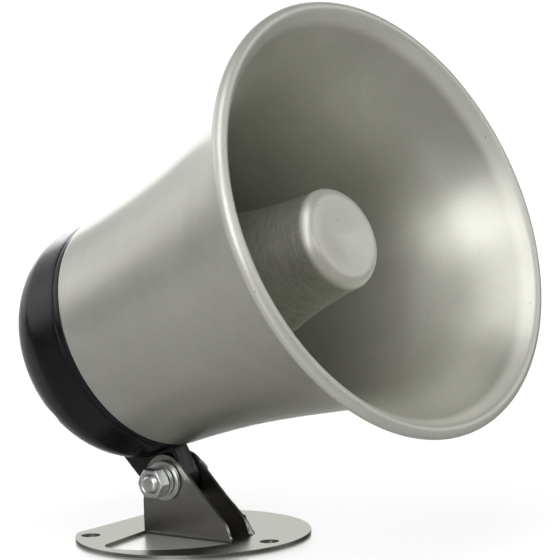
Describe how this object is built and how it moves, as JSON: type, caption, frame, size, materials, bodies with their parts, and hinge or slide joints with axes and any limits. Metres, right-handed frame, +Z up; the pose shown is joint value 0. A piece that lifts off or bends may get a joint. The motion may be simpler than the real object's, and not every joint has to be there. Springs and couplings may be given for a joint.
{
  "type": "horn loudspeaker",
  "caption": "Re-entrant horn loudspeaker: flared metal bell with a central reflector cup, black rear driver cover, and a tilting pivot on a round sheet-metal base bracket.",
  "frame": {"origin": "centre of the round base plate, on its underside", "axes": "+X the way the horn faces, seen from above; +Z up out of the base plate; the pivot nut is on the -Y side and the bolt head on the +Y side"},
  "size_m": [0.1481, 0.1296, 0.1566],
  "materials": {
    "bracket_steel": "satin stainless sheet, lightly reflective",
    "zinc_hardware": "bright zinc plate",
    "bell_paint": "satin silver-grey metallic paint on spun aluminium",
    "reflector_paint": "satin silver-grey metallic paint, slightly mottled",
    "gloss_black_plastic": "glossy black moulding",
    "matte_black_plastic": "matt black moulding",
    "black_rubber": "black rubber",
    "bare_iron": "plated mild steel",
    "post_aluminium": "turned aluminium",
    "ferrite": "ground ferrite",
    "diaphragm_film": "amber polyester film",
    "coil_copper": "enamelled copper wire",
    "terminal_brass": "tinned brass",
    "phenolic_board": "brown phenolic board"
  },
  "bodies": {
    "bracket": {"base_bracket": "bracket_steel", "pivot_bolt": "zinc_hardware", "pivot_nut": "zinc_hardware", "pivot_washer_far": "zinc_hardware", "pivot_washer_near": "zinc_hardware", "pivot_spring_washer": "zinc_hardware"},
    "horn": {"outer_bell": "bell_paint", "reflector_cup": "reflector_paint", "deflector_post": "post_aluminium", "reflector_screw": "zinc_hardware", "throat_tube": "gloss_black_plastic", "bell_screw_1": "zinc_hardware", "bell_screw_2": "zinc_hardware", "bell_screw_3": "zinc_hardware", "rear_cover": "gloss_black_plastic", "cable_grommet": "black_rubber", "cover_screw_1": "zinc_hardware", "cover_screw_2": "zinc_hardware", "cover_screw_3": "zinc_hardware", "cover_seal": "black_rubber", "pole_yoke": "bare_iron", "magnet_ring": "ferrite", "top_plate": "bare_iron", "driver_screw_1": "zinc_hardware", "driver_screw_2": "zinc_hardware", "driver_screw_3": "zinc_hardware", "phase_plug": "matte_black_plastic", "diaphragm_clamp_ring": "matte_black_plastic", "diaphragm_surround": "diaphragm_film", "terminal_board": "phenolic_board", "terminal_rivet": "terminal_brass", "terminal_tag_left": "terminal_brass", "coil_lead_left": "coil_copper", "terminal_tag_right": "terminal_brass", "coil_lead_right": "coil_copper"},
    "diaphragm": {"diaphragm_dome": "diaphragm_film", "coil_former": "diaphragm_film", "voice_coil": "coil_copper"}
  },
  "joints": [
    {"name": "horn_tilt", "type": "hinge", "parent": "bracket", "child": "horn", "pos_m": [-0.00568, 0, 0.01656], "axis": [0, -1, 0], "range_deg": [-20, 48]},
    {"name": "diaphragm_travel", "type": "slide", "parent": "horn", "child": "diaphragm", "axis": [0.9178, 0, 0.3971], "range_m": [-0.0003, 0.0003], "stiffness_N_per_m": 2000}
  ]
}
